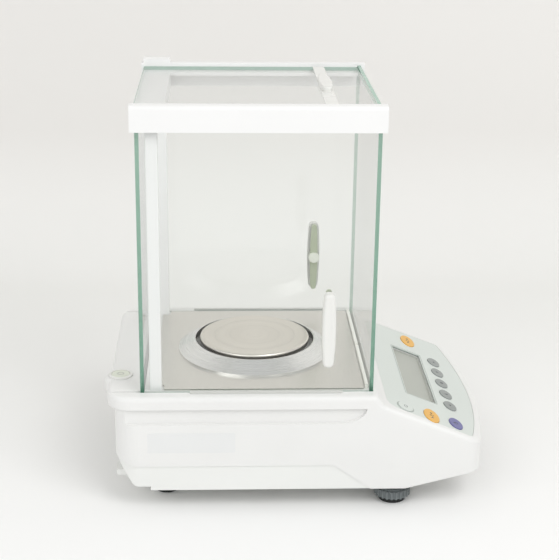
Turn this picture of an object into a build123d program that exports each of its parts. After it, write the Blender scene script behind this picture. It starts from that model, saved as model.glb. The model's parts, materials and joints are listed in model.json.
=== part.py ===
from build123d import *
from math import cos, radians, sin, tan
import os

os.makedirs("parts", exist_ok=True)

# A precision balance with a sliding glass draft shield, in millimetres.
# X runs across the balance, Y from the keypad front to the rear, Z up from the table.
# The origin is on the table, at the middle of the whole width and depth.

# Whole balance
body_width = 213.0
front_reach = 198.0
rear_reach = 127.0
half_width = body_width / 2
pan_y = (front_reach - rear_reach) / 2
front_y = pan_y - front_reach
rear_y = pan_y + rear_reach
margin = 6.0

# Heights of the body above the table
tray_bottom = 17.5
rear_step = 3.5
seam_height = 39.5
groove_low = 77.0
groove_high = 90.5
shelf_height = 101.0

# Body plan, seen from above
wall = 3.0
rear_corner_r = 20.0
front_corner_r = 13.0
front_bow = 13.0
shelf_rear_reach = 123.0
lower_rear_reach = 117.5
shelf_rear_y = pan_y + shelf_rear_reach
lower_rear_y = pan_y + lower_rear_reach
groove_depth = 3.0
groove_front_reach = 90.0
groove_sweep = 24.0

# Body profile, seen from the side
panel_slope = 22.0
panel_front_height = 54.5
shelf_front_reach = 98.0
slope_top_reach = 105.0
chin_reach = 124.0
chin_slope = 14.5
step_reach = 88.0
seam_front_reach = 95.0
seam_bend_reach = 64.0
seam_gap = 0.8
edge_r = 4.0
blend_r = 7.0

# Sloping panel with its film, display and keys; v runs up the slope from the front edge
film_t = 1.0
film_sink = 0.2
film_front = 6.0
film_bow = 14.5
film_side = 101.0
film_side_rear = 97.5
film_rear = 97.0
film_front_r = 4.0
film_rear_r = 11.0
film_play = 0.25
display_width = 108.0
display_depth = 27.5
display_v = 60.0
display_x = -1.5
display_frame = 2.0
window_t = 1.0
key_travel = 0.5
key_proud = 0.8
key_play = 0.25
key_flange = 1.2
key_flange_t = 1.0
key_stem_r = 2.0
switch_gap = 0.1
switch_t = 1.6
switch_width = 6.0
board_t = 1.6
display_t = 4.0
key_flange_clear = 0.1

# Weighing chamber floor
plate_t = 1.2
plate_half_width = 90.6
plate_front_reach = 88.6
plate_rear_reach = 84.0
plate_notch_x = 82.0
plate_notch_reach = 76.5
plate_hole_r = 56.0
ring_r = 66.7
ring_open_r = 52.0
ring_top = 112.0
ring_t = 1.2
ring_rim = 1.6
ring_lip = 0.9
pan_r = 48.0
pan_top = 114.5
pan_t = 1.2
pan_skirt = 4.5
pan_edge_r = 2.0
lift_off = 12.0

# Glass draft shield; distances from the pan axis
glass_t = 3.0
pane_half_width = 91.0
front_pane_reach = 94.2
rear_pane_reach = 94.0
pane_play = 0.2
pane_seat = 1.6
front_pane_top = 337.0
rear_pane_top = 322.0
door_play = 0.5
door_top = 330.0
door_reach = 95.5
door_lift = 0.3
rail_bottom = 318.4
rail_top = 339.0
rail_reach = 99.3
rail_outer = 97.0
rail_inner = 86.6
rail_lip_t = 2.9
rail_ledge = 76.5
rail_ledge_top = 332.7
rail_ledge_t = 3.0
rail_edge_r = 3.4
rear_bar_reach = 73.5
stop_block_height = 3.5
stop_block_reach = 74.0
stop_block_end = 97.5
top_glass_half_width = 86.0
post_x = 83.6
post_reach = 78.0
post_depth = 10.0
top_glass_front = 92.2
top_glass_rear = 97.0
rail_slot_play = 0.4
rear_bar_end = 98.0
guide_gap = 0.5
stud_r = 2.0
stud_play = 0.1
grip_end_width = 6.0
strip_reach = 89.4
strip_width = 3.0
strip_height = 3.6
strip_half_width = 88.0
strip_gap = 3.0
guide_half_length = 62.5
guide_centre = -7.5
guide_width = 3.4
guide_height = 1.4

# Door handles
handle_reach = 57.4
handle_height = 156.7
handle_length = 63.0
handle_width = 11.3
handle_end_width = 8.3
handle_proud = 8.5
clamp_width = 7.0
clamp_end_width = 4.6
clamp_t = 3.0
knob_r = 5.0
knob_t = 3.0
band_width = 10.0
band_half_length = 83.0
band_t = 1.0
grip_proud = 5.0

# Feet
foot_x = 88.0
foot_reach = 115.5
wheel_r = 15.5
wheel_low = 4.8
wheel_high = 13.0
wheel_flutes = 24
flute_r = 1.3
wheel_cap = 1.5
stem_r = 4.0
stem_top = 33.0
thread_play = 0.12
pad_r = 11.5
pad_t = 4.6
pin_r = 2.5
pin_play = 0.25
nut_r = 7.0
foot_extend = 8.0
rear_foot_x = 68.0
rear_foot_reach = 76.0
rear_foot_r = 10.0
rear_pad_t = 7.0

# Weigh cell; distances from the pan axis, towards the rear
cell_base_low = 25.0
cell_base_t = 8.0
cell_half_width = 42.0
cell_front = -26.0
cell_rear = 102.5
cell_chamfer = 5.0
tower_front = 34.0
tower_rear = 59.0
tower_inner = 17.0
tower_outer = 31.0
tower_top = 80.0
guide_t = 3.0
guide_flexure = 1.0
guide_play = 0.5
guide_rise = 1.0
guide_hinge = 33.0
guide_front = -9.0
guide_bar = 14.0
guide_seat_gap = 0.25
hanger_half_width = 12.0
hanger_depth = 14.0
hanger_stem_r = 5.0
hanger_stem_top = 88.0
cone_r = 9.0
cone_top_r = 6.0
cone_height = 7.0
cone_play = 0.3
pan_hub_wall = 2.0
collar_r = 15.0
collar_wall = 2.0
collar_height = 4.0
lever_z = 60.0
lever_t = 7.0
lever_half_width = 8.0
lever_front = 13.0
lever_pivot = 40.0
lever_end = 100.0
lever_tip_width = 4.0
lever_tip_t = 1.0
coil_centre = 78.0
pivot_r = 2.0
pivot_play = 0.05
coil_r = 13.5
coil_wall = 2.0
coil_height = 13.0
yoke_r = 18.5
yoke_wall = 3.0
yoke_bottom = 4.0
pole_r = 8.5
coil_seat_t = 2.0
yoke_clear = 3.0
sensor_half_width = 7.0
sensor_depth = 5.0
sensor_notch = 3.5
sensor_gap = 3.0
sensor_fork_t = 3.0

panel_tan = tan(radians(panel_slope))
panel_cos = cos(radians(panel_slope))
slope_top_y = pan_y - slope_top_reach
shelf_front_y = pan_y - shelf_front_reach
chin_y = pan_y - chin_reach
step_y = pan_y + step_reach
tray_floor = tray_bottom + wall
key_skin = wall + key_flange_clear
board_sink = wall + display_t + key_flange_clear
switch_sink = board_sink - switch_t
tongue_half_width = half_width - wall - 2 * seam_gap
tongue_front_y = chin_y + 1.0
door_bottom = shelf_height - pane_seat + door_lift
top_glass_low = rail_ledge_top + door_lift
top_glass_high = top_glass_low + glass_t
plate_top = shelf_height + plate_t
pan_under = pan_top - pan_t
handle_y = pan_y - handle_reach
guide_high_z = tower_top
door_inner = pane_half_width + door_play
door_outer = door_inner + glass_t


def save(builder, name):
    """Labels a finished piece and writes it as a STEP file."""
    builder.part.label = name
    export_step(builder.part, f"parts/{name}.step")


def panel_height(y):
    """Height of the sloping panel at a distance y."""
    return panel_front_height + (y - front_y) * panel_tan


def chin_height(y):
    """Height of the slanted underside in front of the feet."""
    return tray_bottom + (chin_y - y) * tan(radians(chin_slope))


def panel_plane(sink=0.0):
    """Plane along the sloping panel, below its surface by sink, with y up the slope."""
    up = Vector(0, -sin(radians(panel_slope)), panel_cos)
    foot = Vector(0, front_y, panel_front_height) - up * sink
    return Plane(origin=foot, x_dir=(1, 0, 0), z_dir=up)


def body_plan(height, rear, inset=0.0):
    """Plan of the body with straight sides, round corners and a front that bows forward."""
    side = half_width - inset
    corner = front_y + front_bow + inset
    with BuildSketch(Plane.XY.offset(height)) as plan:
        with BuildLine():
            Polyline((-side, corner), (-side, rear - inset), (side, rear - inset), (side, corner))
            ThreePointArc((side, corner), (0, front_y + inset), (-side, corner))
        make_face()
        fillet(plan.vertices().group_by(Axis.Y)[-1], rear_corner_r - inset)
        fillet(plan.vertices().group_by(Axis.Y)[0], front_corner_r - inset)
    return plan.sketch


def body_profile(inset=0.0):
    """Side view of the body with shelf, sloping panel, chin and raised rear underside."""
    shelf_corner = (shelf_front_y, shelf_height)
    slope_corner = (slope_top_y, panel_height(slope_top_y))
    under_corner = (lower_rear_y - rear_corner_r * 0.8, tray_bottom + rear_step)
    back_corner = (lower_rear_y, seam_height + rear_step * 2)
    with BuildSketch(Plane.YZ) as profile:
        with BuildLine():
            Polyline(
                (rear_y + margin, shelf_height),
                shelf_corner,
                slope_corner,
                (front_y - margin, panel_height(front_y - margin)),
                (front_y - margin, chin_height(front_y - margin)),
                (chin_y, tray_bottom),
                (step_y, tray_bottom),
                (step_y, tray_bottom + rear_step),
                under_corner,
                back_corner,
                (rear_y + margin, back_corner[1]),
                close=True,
            )
        make_face()
        for corner in (shelf_corner, slope_corner, under_corner):
            fillet(profile.vertices().sort_by_distance((*corner, 0))[0], blend_r)
        if inset:
            offset(amount=-inset, kind=Kind.INTERSECTION)
    return profile.sketch


def body_form(inset=0.0):
    """Form of housing and tray together, or the same form inset all round in plan."""
    with BuildPart() as form:
        extrude(body_plan(tray_bottom, lower_rear_y, inset), amount=groove_high + wall - tray_bottom)
        extrude(body_plan(groove_high, shelf_rear_y, inset), amount=shelf_height - groove_high)
        extrude(body_profile(), amount=half_width + margin, both=True, mode=Mode.INTERSECT)
    return form.part


def below_seam(drop=0.0):
    """Side view of what lies below the seam, which dips to the underside in front."""
    back = lower_rear_y + margin
    with BuildSketch(Plane.YZ) as region:
        with BuildLine():
            Polyline(
                (back, seam_height + rear_step * 2),
                (lower_rear_y - rear_corner_r * 0.8, seam_height),
                (pan_y - seam_bend_reach, seam_height),
                (pan_y - seam_front_reach, tray_bottom),
                (pan_y - seam_front_reach, 0),
                (back, 0),
                close=True,
            )
        make_face()
        fillet(region.vertices().sort_by_distance((pan_y - seam_bend_reach, seam_height, 0))[0], blend_r)
        if drop:
            offset(amount=-drop, kind=Kind.INTERSECTION)
    return region.sketch


def disc(x, y, height, radius):
    """Level round shape at a height."""
    with BuildSketch(Plane.XY.offset(height)) as shape:
        with Locations((x, y)):
            Circle(radius)
    return shape.sketch


def oval(width, depth, plane):
    """Oval key shape on a plane, wide across the panel."""
    with BuildSketch(plane) as shape:
        Ellipse(width / 2, depth / 2)
    return shape.sketch


def on_panel(x, v, sink=0.0):
    """Plane on the panel with its origin at x across and v up the slope."""
    plane = panel_plane(sink)
    return Plane(origin=plane.from_local_coords((x, v, 0)), x_dir=plane.x_dir, z_dir=plane.z_dir)


def film_outline(grow=0.0, sink=0.0):
    """Outline of the keypad film: bowed front edge, slightly tapered sides, round rear corners."""
    side = film_side + grow
    with BuildSketch(panel_plane(sink)) as outline:
        with BuildLine():
            Polyline(
                (-side, film_front + film_bow - grow),
                (-film_side_rear - grow, film_rear + grow),
                (film_side_rear + grow, film_rear + grow),
                (side, film_front + film_bow - grow),
            )
            ThreePointArc(
                (side, film_front + film_bow - grow),
                (0, film_front - grow),
                (-side, film_front + film_bow - grow),
            )
        make_face()
        fillet(outline.vertices().group_by(Axis.Y)[-1], film_rear_r + grow)
        fillet(outline.vertices().group_by(Axis.Y)[0], film_front_r + grow)
    return outline.sketch


# Keys as name, x across, v up the slope, width and depth of the oval
function_key_pitch = 24.2
function_key_v = 32.0
key_list = [
    ("tare_key_left", -88.5, 56.0, 25.0, 14.0),
    ("tare_key_right", 80.0, 54.0, 25.0, 14.0),
    ("power_key", -86.0, 33.0, 20.0, 12.5),
    ("menu_key", -89.0, 80.0, 15.5, 13.5),
]
for index in range(5):
    key_x = display_x + (index - 2) * function_key_pitch
    key_list.append((f"function_key_{index + 1}", key_x, function_key_v, 17.5, 11.8))

# Round level beside the chamber, and what stands on the housing's inside
level_x = -58.0
level_seat_r = 13.0
level_y = pan_y + rear_reach - level_seat_r
level_r = 10.0
level_glass_r = 8.0
level_depth = 2.5
level_proud = 1.5
level_play = 0.2
pillar_x = 94.0
pillar_reaches = (-20.0, 72.0)
pillar_r = 5.0
pilot_r = 2.05
board_post_x = 97.5
board_post_vs = (24.0, 92.0)
board_post_r = 3.5
board_half_width = 101.0
board_low_v = 20.0
board_high_v = 95.0

# Main board with its sockets beside the weigh cell
main_board_x = (44.0, 87.0)
main_board_reach = (-50.0, 110.0)
main_board_z = 47.0
standoff_r = 3.0
data_port_x = 60.0
data_port_width = 31.0
data_port_height = 11.0
port_proud = 5.0
contact_pitch = 2.7
contact_r = 0.6
power_socket_x = 81.5
power_socket_width = 11.0
power_socket_height = 11.0
power_pin_r = 1.0
power_hole_r = 3.2
socket_depth = 13.0
socket_play = 0.3

# Fasteners and lug
screw_r = 2.0
screw_head_r = 4.0
screw_head_t = 2.4
screw_length = 16.0
board_screw_r = 1.2
board_screw_head_r = 2.4
board_screw_head_t = 1.4
board_screw_length = 6.0
lug_x = -80.0
lug_width = 16.0
lug_low = 23.0
lug_t = 5.0
lug_hole_r = 3.2
lug_hole_y = lower_rear_y - 7.0


def groove_side(side):
    """Side groove below the shelf, swept up at its front end, on one side of the body."""
    end = pan_y - groove_front_reach
    with BuildSketch(Plane.YZ.offset(side * (half_width - groove_depth))) as groove:
        with BuildLine():
            EllipticalCenterArc(
                (end + groove_sweep, groove_high),
                groove_sweep,
                groove_high - groove_low,
                start_angle=180,
                arc_size=90,
            )
            Polyline(
                (end + groove_sweep, groove_low),
                (rear_y, groove_low),
                (rear_y, groove_high),
                (end, groove_high),
            )
        make_face()
    return groove.sketch


def is_top_edge(edge):
    """True for the outer edges round the shelf, the blend and the panel."""
    middle = edge.position_at(0.5)
    length = abs(edge.position_at(0).X - edge.position_at(1).X)
    across = length > body_width * 0.9 and abs(edge.position_at(0).Y - middle.Y) < 0.1
    if middle.Y > shelf_front_y:
        return middle.Z > shelf_height - 0.1
    above_front = middle.Z > panel_height(middle.Y) - 0.1
    return above_front and not across


def box_between(low, high, mode=Mode.ADD):
    """Adds or cuts the box between two opposite corners."""
    size = [b - a for a, b in zip(low, high)]
    middle = [(a + b) / 2 for a, b in zip(low, high)]
    with Locations(tuple(middle)):
        return Box(*size, mode=mode)


def body_cavity():
    """Hollow of the housing, one wall inside its form and further in behind the grooves."""
    inner = half_width - wall - groove_depth
    with BuildPart() as cavity:
        extrude(body_plan(tray_bottom, lower_rear_y, wall), amount=shelf_height - tray_bottom)
        extrude(body_profile(wall), amount=half_width, both=True, mode=Mode.INTERSECT)
        for low_x, high_x in ((-half_width, -inner), (inner, half_width)):
            box_between(
                (low_x, pan_y - groove_front_reach - wall, groove_low - wall),
                (high_x, rear_y, shelf_height),
                mode=Mode.SUBTRACT,
            )
    return cavity.part


# Upper housing: one moulding with shelf, sloping panel, side grooves and rear level seat
with BuildPart() as upper_housing:
    add(body_form())
    with BuildSketch(Plane.XY.offset(groove_high)):
        with Locations((level_x, level_y)):
            Circle(level_seat_r)
    extrude(amount=shelf_height - groove_high)
    fillet(upper_housing.edges().filter_by(is_top_edge), edge_r)
    for side in (-1, 1):
        extrude(groove_side(side), amount=side * (groove_depth + margin), mode=Mode.SUBTRACT)
    extrude(below_seam(), amount=half_width + margin, both=True, mode=Mode.SUBTRACT)
    add(body_cavity(), mode=Mode.SUBTRACT)

    # Opening in the underside for the tongue of the tray
    box_between(
        (-tongue_half_width - seam_gap, tongue_front_y - seam_gap, 0),
        (
            tongue_half_width + seam_gap,
            pan_y - seam_front_reach + 3 * wall + seam_gap,
            tray_floor + seam_gap,
        ),
        mode=Mode.SUBTRACT,
    )

    # Collar round the pan stem, seats of the glass and of the level
    with BuildSketch(Plane.XY.offset(shelf_height - wall)):
        with Locations((0, pan_y)):
            Circle(collar_r)
    extrude(amount=wall + collar_height)
    with Locations((0, pan_y, shelf_height + collar_height)):
        Hole(collar_r - collar_wall, depth=wall + collar_height + margin)
    for reach in (-front_pane_reach, rear_pane_reach):
        box_between(
            (-door_inner, pan_y + reach - glass_t / 2 - pane_play, shelf_height - pane_seat),
            (door_inner, pan_y + reach + glass_t / 2 + pane_play, shelf_height + margin),
            mode=Mode.SUBTRACT,
        )
    for side in (-1, 1):
        near = side * (door_inner - pane_play)
        far = side * (door_outer + pane_play)
        box_between(
            (min(near, far), pan_y - door_reach - pane_play, shelf_height - pane_seat),
            (max(near, far), rear_y + margin, shelf_height + margin),
            mode=Mode.SUBTRACT,
        )
    with Locations((level_x, level_y, shelf_height)):
        Hole(level_r + level_play, depth=level_depth)

    # Pocket of the keypad film, display opening and key holes
    extrude(film_outline(film_play), amount=-(film_t + film_sink), mode=Mode.SUBTRACT)
    with BuildSketch(on_panel(display_x, display_v, film_t + film_sink)):
        Rectangle(display_width + 2 * display_frame, display_depth + 2 * display_frame)
    extrude(amount=-window_t, mode=Mode.SUBTRACT)
    with BuildSketch(on_panel(display_x, display_v)):
        Rectangle(display_width, display_depth)
    extrude(amount=-(wall + 1), mode=Mode.SUBTRACT)
    for name, x, v, key_width, key_depth in key_list:
        extrude(
            oval(key_width + 2 * key_play, key_depth + 2 * key_play, on_panel(x, v)),
            amount=-(wall + 1),
            mode=Mode.SUBTRACT,
        )

    # Posts of the display board and pillars of the case screws
    for x in (-board_post_x, board_post_x):
        for v in board_post_vs:
            with BuildSketch(on_panel(x, v, wall)):
                Circle(board_post_r)
            extrude(amount=-(board_sink - wall))
            with BuildSketch(on_panel(x, v, board_sink)):
                Circle(board_screw_r + 0.05)
            extrude(amount=board_screw_length - board_t, mode=Mode.SUBTRACT)
    for x in (-pillar_x, pillar_x):
        for reach in pillar_reaches:
            with BuildSketch(Plane.XY.offset(tray_floor)):
                with Locations((x, pan_y + reach)):
                    Circle(pillar_r)
            extrude(amount=shelf_height - wall - tray_floor)
            with BuildSketch(Plane.XY.offset(tray_floor)):
                with Locations((x, pan_y + reach)):
                    Circle(pilot_r)
            extrude(amount=screw_length, mode=Mode.SUBTRACT)

    # Openings in the rear wall for the sockets
    for x, opening_width, opening_height in (
        (data_port_x, data_port_width, data_port_height),
        (power_socket_x, power_socket_width, power_socket_height),
    ):
        box_between(
            (x - opening_width / 2 - socket_play, lower_rear_y - wall - 1, main_board_z + board_t),
            (
                x + opening_width / 2 + socket_play,
                rear_y + margin,
                main_board_z + board_t + opening_height + socket_play,
            ),
            mode=Mode.SUBTRACT,
        )

save(upper_housing, "upper_housing")


# Base tray: flush with the housing behind the seam, with a tongue under the front
def tray_pocket():
    """Hollow of the tray, one wall inside its form, behind a slanted front wall."""
    with BuildPart() as pocket:
        extrude(body_plan(tray_bottom, lower_rear_y, wall + seam_gap), amount=seam_height)
        extrude(body_profile(wall), amount=half_width, both=True, mode=Mode.INTERSECT)
        with BuildSketch(Plane.YZ):
            with BuildLine():
                Polyline(
                    (pan_y - seam_front_reach + 2 * wall, tray_bottom),
                    (pan_y - seam_bend_reach + 2 * wall, seam_height),
                    (pan_y - seam_bend_reach + 2 * wall, shelf_height),
                    (rear_y, shelf_height),
                    (rear_y, tray_bottom),
                    close=True,
                )
            make_face()
        extrude(amount=half_width, both=True, mode=Mode.INTERSECT)
    return pocket.part


cell_bolt_x = cell_half_width - 8.0
cell_bolt_reaches = (cell_front + 8.0, tower_rear + 11.0)
main_board_posts = [
    (x, pan_y + reach)
    for x in (main_board_x[0] + 4, main_board_x[1] - 4)
    for reach in (main_board_reach[0] + 5, main_board_reach[1] - 25)
]

with BuildPart() as base_tray:
    add(body_form(seam_gap))
    extrude(below_seam(), amount=half_width + margin, both=True, mode=Mode.INTERSECT)
    add(tray_pocket(), mode=Mode.SUBTRACT)
    box_between(
        (-tongue_half_width, tongue_front_y, tray_bottom),
        (tongue_half_width, pan_y - seam_front_reach + 3 * wall, tray_floor),
    )
    for x in (-foot_x, foot_x):
        with BuildSketch(Plane.XY.offset(tray_bottom)):
            with Locations((x, pan_y - foot_reach)):
                Circle(nut_r)
        extrude(amount=stem_top - tray_bottom - 1)
        with Locations((x, pan_y - foot_reach, stem_top)):
            Hole(stem_r + thread_play, depth=stem_top)
        with BuildSketch(Plane.XY.offset(rear_pad_t)):
            with Locations(((rear_foot_x if x > 0 else -rear_foot_x), pan_y + rear_foot_reach)):
                Circle(rear_foot_r + 1)
        extrude(amount=tray_bottom + 1 - rear_pad_t)
        for reach in cell_bolt_reaches:
            with BuildSketch(Plane.XY.offset(tray_bottom + 1)):
                with Locations(((cell_bolt_x if x > 0 else -cell_bolt_x), pan_y + reach)):
                    Circle(standoff_r * 2)
            extrude(amount=cell_base_low - tray_bottom - 1)
    with BuildSketch(Plane.XY.offset(tray_bottom + 1)):
        with Locations(*main_board_posts):
            Circle(standoff_r)
    extrude(amount=main_board_z - tray_bottom - 1)
    with BuildSketch(Plane.XY.offset(main_board_z)):
        with Locations(*main_board_posts):
            Circle(board_screw_r + 0.05)
    extrude(amount=-board_screw_length, mode=Mode.SUBTRACT)
    for x in (-pillar_x, pillar_x):
        for reach in pillar_reaches:
            with Locations(Location((x, pan_y + reach, tray_bottom), (180, 0, 0))):
                CounterBoreHole(screw_r + 0.2, screw_head_r + 0.3, wall / 2, depth=wall + 1)
    for x in (-cell_bolt_x, cell_bolt_x):
        for reach in cell_bolt_reaches:
            with Locations((x, pan_y + reach, cell_base_low)):
                Hole(pilot_r, depth=cell_base_low - tray_bottom - 1)

    # Lug with a hole for a locking cable, under the overhang of the rear
    with BuildSketch(Plane.XY.offset(lug_low)):
        with Locations((lug_x, lower_rear_y - rear_corner_r * 0.4)):
            RectangleRounded(lug_width, rear_corner_r * 0.8, 3)
    extrude(amount=lug_t)
    with Locations((lug_x, lug_hole_y, lug_low + lug_t)):
        Hole(lug_hole_r, depth=lug_t)

save(base_tray, "base_tray")

# Keypad film: thin overlay with openings for the display and the keys
with BuildPart() as keypad_film:
    extrude(film_outline(sink=film_sink), amount=-film_t)
    with BuildSketch(on_panel(display_x, display_v, film_sink)):
        Rectangle(display_width, display_depth)
    extrude(amount=-film_t, mode=Mode.SUBTRACT)
    for name, x, v, key_width, key_depth in key_list:
        extrude(
            oval(key_width + 2 * key_play, key_depth + 2 * key_play, on_panel(x, v)),
            amount=-(film_t + film_sink),
            mode=Mode.SUBTRACT,
        )

save(keypad_film, "keypad_film")

# Display window, seated in the housing under the edge of the film
with BuildPart() as display_window:
    with BuildSketch(on_panel(display_x, display_v, film_t + film_sink)):
        Rectangle(
            display_width + 2 * display_frame - 2 * socket_play,
            display_depth + 2 * display_frame - 2 * socket_play,
        )
    extrude(amount=-window_t)

save(display_window, "display_window")

# Display module standing on its board, behind the window
with BuildPart() as display_module:
    with BuildSketch(on_panel(display_x, display_v, board_sink)):
        Rectangle(display_width + 6, display_depth + 6)
    extrude(amount=display_t)
    with BuildSketch(on_panel(display_x, display_v, board_sink - display_t)):
        Rectangle(display_width - 2, display_depth - 2)
    extrude(amount=-0.6, mode=Mode.SUBTRACT)

save(display_module, "display_module")

# Display board with one switch under each key
with BuildPart() as display_board:
    with BuildSketch(on_panel(0, (board_low_v + board_high_v) / 2, board_sink)) as board_face:
        RectangleRounded(2 * board_half_width, board_high_v - board_low_v, 3)
    extrude(amount=-board_t)
    for name, x, v, key_width, key_depth in key_list:
        with BuildSketch(on_panel(x, v, board_sink)):
            Rectangle(switch_width, switch_width)
        extrude(amount=switch_t - 0.5)
        with BuildSketch(on_panel(x, v, board_sink)):
            Circle(key_stem_r)
        extrude(amount=switch_t)
    for x in (-board_post_x, board_post_x):
        for v in board_post_vs:
            with BuildSketch(on_panel(x, v, board_sink)):
                Circle(board_screw_r + 0.2)
            extrude(amount=-board_t, mode=Mode.SUBTRACT)

save(display_board, "display_board")

# Keys: an oval cap, a flange that keeps it under the housing and a stem over its switch
for name, x, v, key_width, key_depth in key_list:
    with BuildPart() as key:
        cap = oval(key_width, key_depth, on_panel(x, v, key_skin + key_travel))
        extrude(cap, amount=key_skin + key_travel - film_sink + key_proud)
        fillet(key.edges().sort_by(Axis((0, 0, 0), panel_plane().z_dir))[-1], key_proud * 0.6)
        flange = oval(key_width + 2 * key_flange, key_depth + 2 * key_flange, on_panel(x, v, key_skin))
        extrude(flange, amount=-key_flange_t)
        with BuildSketch(on_panel(x, v, key_skin + key_flange_t)):
            Circle(key_stem_r)
        extrude(amount=-(switch_sink - switch_gap - key_travel - key_skin - key_flange_t))
    save(key, name)


# Main board beside the weigh cell, on the posts of the tray
with BuildPart() as main_board:
    board_front_y = pan_y + main_board_reach[0]
    board_rear_y = pan_y + main_board_reach[1]
    box_between(
        (main_board_x[0], board_front_y, main_board_z),
        (main_board_x[1], board_rear_y, main_board_z + board_t),
    )
    chip_x = sum(main_board_x) / 2
    for chip_y, chip_size, chip_t in (
        (board_front_y + 30, 16, 2.5),
        (board_front_y + 60, 12, 2.5),
        (board_front_y + 84, 10, 7.0),
        (board_front_y + 108, 14, 4.0),
    ):
        with BuildSketch(Plane.XY.offset(main_board_z + board_t)):
            with Locations((chip_x, chip_y)):
                Rectangle(chip_size, chip_size)
        extrude(amount=chip_t)
    with BuildSketch(Plane.XY.offset(main_board_z)):
        with Locations(*main_board_posts):
            Circle(board_screw_r + 0.2)
    extrude(amount=board_t, mode=Mode.SUBTRACT)

save(main_board, "main_board")

# Data port: block with a shell that stands out of the rear and two rows of contacts
socket_rear_y = lower_rear_y - 0.5
with BuildPart() as data_port:
    box_between(
        (data_port_x - data_port_width / 2, socket_rear_y - socket_depth, main_board_z + board_t),
        (data_port_x + data_port_width / 2, socket_rear_y, main_board_z + board_t + data_port_height),
    )
    port_middle = (data_port_x, main_board_z + board_t + data_port_height / 2)
    with BuildSketch(Plane.XZ.offset(-socket_rear_y)) as shell:
        with Locations(port_middle):
            Trapezoid(data_port_width - 12, data_port_height - 3, 80, rotation=180)
        fillet(shell.vertices(), 1.5)
    extrude(amount=-port_proud)
    with BuildSketch(Plane.XZ.offset(-socket_rear_y - port_proud)):
        for contacts, contact_z in ((5, 1.4), (4, -1.4)):
            with Locations((port_middle[0], port_middle[1] + contact_z)):
                with GridLocations(contact_pitch, 1, contacts, 1):
                    Circle(contact_r)
    extrude(amount=port_proud - 1, mode=Mode.SUBTRACT)

save(data_port, "data_port")

# Power socket with a round recess and a centre pin
with BuildPart() as power_socket:
    box_between(
        (
            power_socket_x - power_socket_width / 2,
            socket_rear_y - socket_depth,
            main_board_z + board_t,
        ),
        (
            power_socket_x + power_socket_width / 2,
            socket_rear_y,
            main_board_z + board_t + power_socket_height,
        ),
    )
    inlet_middle = (power_socket_x, main_board_z + board_t + power_socket_height / 2)
    with BuildSketch(Plane.XZ.offset(-socket_rear_y)):
        with Locations(inlet_middle):
            Circle(power_hole_r)
            Circle(power_pin_r, mode=Mode.SUBTRACT)
    extrude(amount=socket_depth - 3, mode=Mode.SUBTRACT)

save(power_socket, "power_socket")

# Round level: a cup in its seat and a domed glass
with BuildPart() as level_body:
    with BuildSketch(Plane.XY.offset(shelf_height - level_depth)):
        with Locations((level_x, level_y)):
            Circle(level_r)
    extrude(amount=level_depth + level_proud)
    fillet(level_body.edges().sort_by(Axis.Z)[-1], level_proud * 0.5)
    with Locations((level_x, level_y, shelf_height + level_proud)):
        Hole(level_glass_r, depth=level_depth)

save(level_body, "level_body")

with BuildPart() as level_glass:
    level_glass_low = shelf_height + level_proud - level_depth
    with BuildSketch(Plane.XY.offset(level_glass_low)):
        with Locations((level_x, level_y)):
            Circle(level_glass_r - 0.1)
    extrude(amount=level_depth)
    fillet(level_glass.edges().sort_by(Axis.Z)[-1], level_depth * 0.4)

save(level_glass, "level_glass")


# Fixed glass of the chamber, standing in the seats of the shelf
def pane(reach, half_width_of_pane, top):
    """Upright pane across the chamber at a distance from the pan axis."""
    with BuildPart() as sheet:
        box_between(
            (-half_width_of_pane, pan_y + reach - glass_t / 2, shelf_height - pane_seat),
            (half_width_of_pane, pan_y + reach + glass_t / 2, top),
        )
    return sheet


front_pane = pane(-front_pane_reach, pane_half_width, front_pane_top)
save(front_pane, "front_pane")
rear_pane = pane(rear_pane_reach, pane_half_width, rear_pane_top)
save(rear_pane, "rear_pane")


# Rails along the top with a slot for the side door and a ledge for the top door
def rail(side, with_block=False):
    """Rail over one side door; the block behind it ends the travel of the top door."""
    slot_inner = door_inner - rail_slot_play
    slot_outer = door_outer + rail_slot_play
    slot_top = door_top + 1
    lip_inner = slot_inner - rail_lip_t
    with BuildPart() as bar:
        with BuildSketch(Plane.XZ.offset(-(pan_y - rail_reach))) as section:
            with BuildLine():
                Polyline(
                    (side * rail_outer, rail_bottom),
                    (side * rail_outer, rail_top),
                    (side * rail_inner, rail_top),
                    (side * rail_inner, rail_ledge_top - rail_ledge_t),
                    (side * lip_inner, rail_ledge_top - rail_ledge_t),
                    (side * lip_inner, rail_bottom),
                    close=True,
                )
            make_face()
            fillet(section.vertices().sort_by_distance((side * rail_outer, rail_top, 0))[0], rail_edge_r)
        extrude(amount=-2 * rail_reach)
        ledge_ends = sorted((side * rail_ledge, side * lip_inner))
        box_between(
            (ledge_ends[0], pan_y - front_pane_reach + glass_t / 2 + pane_play, rail_ledge_top - rail_ledge_t),
            (ledge_ends[1], pan_y + rear_bar_reach, rail_ledge_top),
        )
        slot_ends = sorted((side * slot_inner, side * slot_outer))
        box_between(
            (slot_ends[0], pan_y - door_reach - rail_slot_play, rail_bottom - margin),
            (slot_ends[1], pan_y + rail_reach + margin, slot_top),
            mode=Mode.SUBTRACT,
        )
        for reach, top in ((-front_pane_reach, front_pane_top), (rear_pane_reach, rear_pane_top)):
            notch_ends = sorted((0, side * (pane_half_width + pane_play)))
            box_between(
                (notch_ends[0], pan_y + reach - glass_t / 2 - pane_play, rail_bottom - margin),
                (notch_ends[1], pan_y + reach + glass_t / 2 + pane_play, top + pane_play),
                mode=Mode.SUBTRACT,
            )
        if with_block:
            block_ends = sorted((side * rail_inner, side * rail_outer))
            box_between(
                (block_ends[0], pan_y + stop_block_reach, rail_top - rail_edge_r),
                (block_ends[1], pan_y + stop_block_end, rail_top + stop_block_height),
            )
    return bar


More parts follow.
